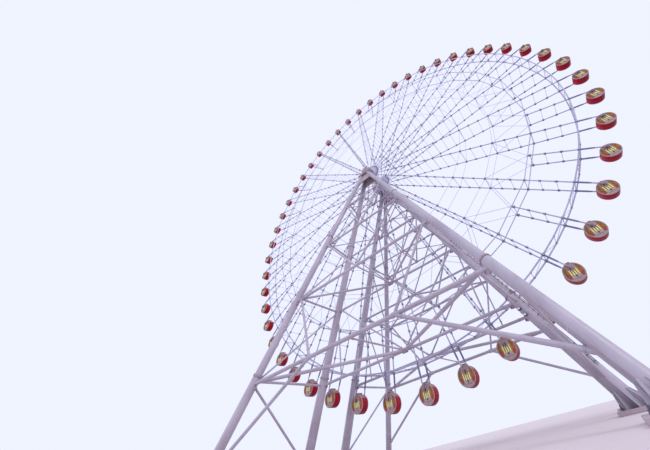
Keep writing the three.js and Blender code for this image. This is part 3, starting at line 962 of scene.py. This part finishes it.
def ladder():
    """A narrow rung ladder up the near right leg beside the wheel, turned towards the outer leg."""
    # The dark paint of rails and rungs is partly painted shade along the side of the leg.
    shape = Shape("rail")
    foot, top = inner_leg(1, -1)
    along = (top - foot).normalized()
    outward = Y_AXIS.cross(along) * math.cos(LADDER_TURN) - Y_AXIS * math.sin(LADDER_TURN)
    across = along.cross(outward)
    start, end = 0.30, (top - foot).length * 0.90
    rails = []
    for hand in (-1, 1):
        offset = outward * (INNER_LEG[0] + 0.012) + across * hand * LADDER_HALF_WIDTH
        rails.append((foot + along * start + offset, foot + along * end + offset))
        shape.tube(*rails[-1], LADDER_RAIL, "rail", 6)
    count = int((end - start) / LADDER_STEP)
    for k in range(count):
        a, b = (rail[0].lerp(rail[1], (k + 0.5) / count) for rail in rails)
        shape.tube(a, b, LADDER_RUNG, "rail", 6)
        if k % 6 == 3:
            for spot in (a, b):
                shape.tube(spot, spot - outward * 0.028, LADDER_RAIL, "rail", 6)
    shape.piece("leg_ladder", "support", slot="white_paint")


def floodlights():
    """Pairs of small floodlights on the right legs beside the wheel, under the lowest ties."""
    shape = Shape("dark", "lens", "gusset")
    for side in (-1, 1):
        axis = inner_leg(1, side)
        outward = Y_AXIS * side
        inward = outward.cross((axis[1] - axis[0]).normalized()) * -side
        for share in FLOODLIGHT_SHARES:
            spot = along_leg(axis, share) + inward * 0.042 + outward * 0.052
            shape.box(spot - outward * 0.012, (0.020, 0.030, 0.014), "gusset", bevel=0.002)
            shape.box(spot + outward * 0.010, (0.034, 0.030, 0.026), "dark", bevel=0.004)
            shape.box(spot + outward * 0.0255, (0.026, 0.003, 0.019), "lens", bevel=0.001)
    shape.piece("floodlights", "support", slot="bearing_steel")


# Cabins.

def arc(radius, start, end, count, middle):
    """Points at a radius from the drum's middle; degrees are measured from +X towards +Z."""
    points = []
    for k in range(count + 1):
        angle = math.radians(start + (end - start) * k / count)
        points.append((middle[0] + radius * math.cos(angle), middle[1] + radius * math.sin(angle)))
    return points


def panel(shape, outline, y, side, rise, finish):
    """A raised flat panel on a face of the drum; outline is a list of (x, z)."""
    points = [Vector((x, side * (y + rise / 2), z)) for x, z in outline]
    shape.plate(points, rise, finish)


def drum_ring(shape, radius, y, bar_radius, finish):
    ring = []
    for k in range(ROUND_SIDES):
        angle = 2 * math.pi * k / ROUND_SIDES
        ring.append(Vector((radius * math.sin(angle), y, -CABIN_HANG + radius * math.cos(angle))))
    shape.hoop(ring, bar_radius, finish, 8)


def drum_shell(shape):
    """The curved wall: red below, roof paint on top, with rolled rims to both faces."""
    half = CABIN_HALF_DEPTH
    radius = CABIN_RADIUS
    profile = [(-half + 0.007, radius - 0.0060), (-half + 0.010, radius - 0.0026),
               (-half * 0.5, radius - 0.0010), (0, radius - 0.0005), (half * 0.5, radius - 0.0010),
               (half - 0.010, radius - 0.0026), (half - 0.007, radius - 0.0060)]
    rows = len(profile)
    for finish, start, end in (("shell", ROOF_HALF_ANGLE, 360 - ROOF_HALF_ANGLE),
                               ("roof", -ROOF_HALF_ANGLE, ROOF_HALF_ANGLE)):
        steps = round(ROUND_SIDES * (end - start) / 360)
        verts = []
        for k in range(steps + 1):
            direction = radial_way(math.radians(start + (end - start) * k / steps))
            verts += [Vector((0, y, -CABIN_HANG)) + direction * r for y, r in profile]
        faces = [[a, a + 1, a + rows + 1, a + rows] for k in range(steps)
                 for a in range(k * rows, k * rows + rows - 1)]
        shape.add(verts, faces, finish)
    for side in (-1, 1):
        drum_ring(shape, radius - 0.0047, side * (half - 0.0048), 0.0045, "cream")
        shape.disc(Vector((0, side * (half - 0.008), -CABIN_HANG)), Y_AXIS, radius - 0.005, 0.004, "cream",
                   ROUND_SIDES)
    for y in (-0.026, 0.026):
        drum_ring(shape, radius - 0.0011, y, 0.0010, "shell")


def cabin_face(shape, side):
    """Two-leaf door with bright bars, side windows and the plain lower panel of one face."""
    y = CABIN_HALF_DEPTH - FACE_INSET
    middle = (0.0, -CABIN_HANG)
    window_edge, window_outer = 0.049, 0.0905
    window_low, window_high, seat_high = -40, 55, -14
    glass_rise, frame_tube = 0.0022, 0.0011
    leaf_top, leaf_bottom = middle[1] + 0.034, middle[1] - 0.064
    bar_top, bar_bottom = middle[1] + 0.028, middle[1] - 0.030
    bar_middle, bar_height = (bar_top + bar_bottom) / 2, bar_top - bar_bottom
    leaf = (0.0466, 0.004, leaf_top - leaf_bottom)
    leaf_pane = (0.0430, 0.0016, bar_height)
    bar = (0.0155, 0.0024, bar_height + 0.003)
    handle = (0.0040, 0.003, 0.014)

    def block(x, out, z, size, finish, bevel=0.0):
        shape.box(Vector((x, side * (y + out), z)), size, finish, bevel=bevel)

    for hand in (-1, 1):
        points = arc(window_outer, window_low, window_high, 14, middle)
        outline = [(window_edge, points[0][1])] + points + [(window_edge + 0.001, points[-1][1])]
        outline = [(hand * x, z) for x, z in outline]
        panel(shape, outline, y, side, glass_rise, "glass")
        shape.hoop([Vector((x, side * (y + glass_rise), z)) for x, z in outline], frame_tube, "roof", 5)
        seat = arc(window_outer - 0.003, window_low + 4, seat_high, 5, middle)
        seat = [(window_edge + 0.004, seat[-1][1])] + [(window_edge + 0.004, seat[0][1])] + seat
        panel(shape, [(hand * x, z) for x, z in seat], y + glass_rise, side, 0.0006, "seat")
        leaf_x = hand * 0.0238
        block(leaf_x, 0.0020, (leaf_top + leaf_bottom) / 2, leaf, "cream", 0.0012)
        block(leaf_x, 0.0040, bar_middle, leaf_pane, "pane")
        for x in (hand * 0.0116, hand * 0.0350):
            block(x, 0.0048, bar_middle, bar, "bright", 0.0008)
        block(hand * 0.0046, 0.0060, middle[1] - 0.044, handle, "dark", 0.0008)
    block(0, 0.0030, middle[1] - 0.016, (0.0014, 0.003, 0.092), "dark")
    block(0, 0.0026, middle[1] - 0.067, (0.074, 0.005, 0.004), "roof", 0.001)
    lower = arc(0.0925, -138, -42, 14, middle)
    panel(shape, lower[::-1], y, side, 0.0014, "cream")


def cabin_hanger(shape):
    """Pivot tube, slotted brackets on both faces and the roof unit."""
    shape.turned(Y_AXIS * -PIN_REACH, Y_AXIS, [(0, PIN_TUBE), (2 * PIN_REACH, PIN_TUBE)], "bolt", 16)
    base = CABIN_HALF_DEPTH - FACE_INSET
    depth = BRACKET_REACH - base
    height = BRACKET_TOP + BRACKET_BOTTOM
    middle_z = (BRACKET_TOP - BRACKET_BOTTOM) / 2
    front = 0.005
    for side in (-1, 1):
        y = side * (base + depth / 2)
        # A dark box fills each bracket: painted shade showing through its slots.
        shape.box(Vector((0, side * (base + (depth - front) / 2), middle_z)),
                  (BRACKET_WIDTH - 0.006, depth - front, height - 0.004), "dark", bevel=0.001)
        for x in (-0.0197, 0.0197):
            shape.box(Vector((x, y, middle_z)), (0.0046, depth, height), "roof", bevel=0.001)
        shape.box(Vector((0, side * (BRACKET_REACH - front / 2), middle_z)), (0.0120, front, height), "roof",
                  bevel=0.001)
        for z, tall in ((BRACKET_TOP - 0.0145, 0.029), (-BRACKET_BOTTOM + 0.003, 0.006)):
            shape.box(Vector((0, y, z)), (BRACKET_WIDTH - 0.002, depth - 0.001, tall), "roof", bevel=0.001)
        shape.disc(Vector((0, side * (BRACKET_REACH - 0.0005), 0)), Y_AXIS, 0.0085, 0.006, "bolt", 16, 0.001)
    shape.box(UP * (ROOF_TOP - 0.0155), (0.058, 0.082, 0.028), "roof", bevel=0.004)
    shape.box(UP * (ROOF_TOP - 0.0030), (0.038, 0.060, 0.005), "dark", bevel=0.001)
    for x in (-0.018, -0.009, 0.0, 0.009, 0.018):
        for side in (-1, 1):
            shape.box(Vector((x, side * 0.0410, ROOF_TOP - 0.012)), (0.0040, 0.002, 0.010), "dark")


def cabins():
    shape = Shape("shell", "roof", "cream", "glass", "pane", "seat", "bright", "dark", "bolt")
    drum_shell(shape)
    for side in (-1, 1):
        cabin_face(shape, side)
    cabin_hanger(shape)
    mesh = shape.mesh("drum_cabin", CABIN_SMOOTH_ANGLE)
    for i in range(CABIN_COUNT):
        body = f"cabin_{i + 1:02d}"
        place(f"drum_{body}", mesh, body, (body,), "cabin_shell", wheel_point(i, PIVOT_RADIUS, 0))


# Floor, light and camera.

def stage_and_light():
    floor = Shape("floor")
    floor.add([Vector((x, y, -0.0005)) for x, y in ((-60, -60), (60, -60), (60, 60), (-60, 60))],
              [[0, 1, 2, 3]], "floor")
    ground = bpy.data.objects.new("ground", floor.mesh("ground"))
    bpy.context.scene.collection.objects.link(ground)

    world = bpy.data.worlds.new("soft_sky")
    bpy.context.scene.world = world
    world.use_nodes = True
    background = world.node_tree.nodes["Background"]
    background.inputs["Color"].default_value = linear(226, 230, 252)
    background.inputs["Strength"].default_value = 1.14

    def lamp(name, kind, energy, colour, at, aim, size):
        data = bpy.data.lights.new(name, kind)
        data.energy = energy
        data.color = colour[:3]
        if kind == "AREA":
            data.shape = "DISK"
            data.size = size
        else:
            data.angle = size
        thing = bpy.data.objects.new(name, data)
        thing.location = at
        thing.rotation_euler = (Vector(aim) - Vector(at)).to_track_quat("-Z", "Y").to_euler()
        bpy.context.scene.collection.objects.link(thing)

    lamp("soft_sun", "SUN", 0.75, linear(255, 250, 244), (9, -3, 12), (0, 0, 4), math.radians(25))
    lamp("front_fill", "AREA", 40, linear(236, 236, 252), (-6, -12, 5), (0, 0, 4.5), 8)


def camera():
    data = bpy.data.cameras.new("photo_camera")
    data.sensor_width = 36
    data.lens = CAMERA_LENS
    data.shift_x, data.shift_y = CAMERA_SHIFT
    data.clip_start, data.clip_end = 0.02, 400
    thing = bpy.data.objects.new("photo_camera", data)
    forward = Vector(CAMERA_FORWARD).normalized()
    right = forward.cross(Vector(CAMERA_UP)).normalized()
    up = right.cross(forward)
    turn = Matrix((right, up, -forward)).transposed()
    thing.matrix_world = Matrix.Translation(CAMERA_AT) @ turn.to_4x4()
    bpy.context.scene.collection.objects.link(thing)
    bpy.context.scene.camera = thing
    bpy.context.scene.view_settings.view_transform = "Standard"


camera()
stage_and_light()
for where, side in SIDES.items():
    wheel_side(where, side)
    leg(f"{where}_left_leg", outer_leg(-1, side), OUTER_LEG)
    leg(f"{where}_right_leg", outer_leg(1, side), OUTER_LEG)
    inner_frame(where, side)
    bracing(where, side)
    fine_bracing(where, side)
cross_members()
hub()
axle_and_bearings()
frame_heads()
ladder()
floodlights()
cabins()
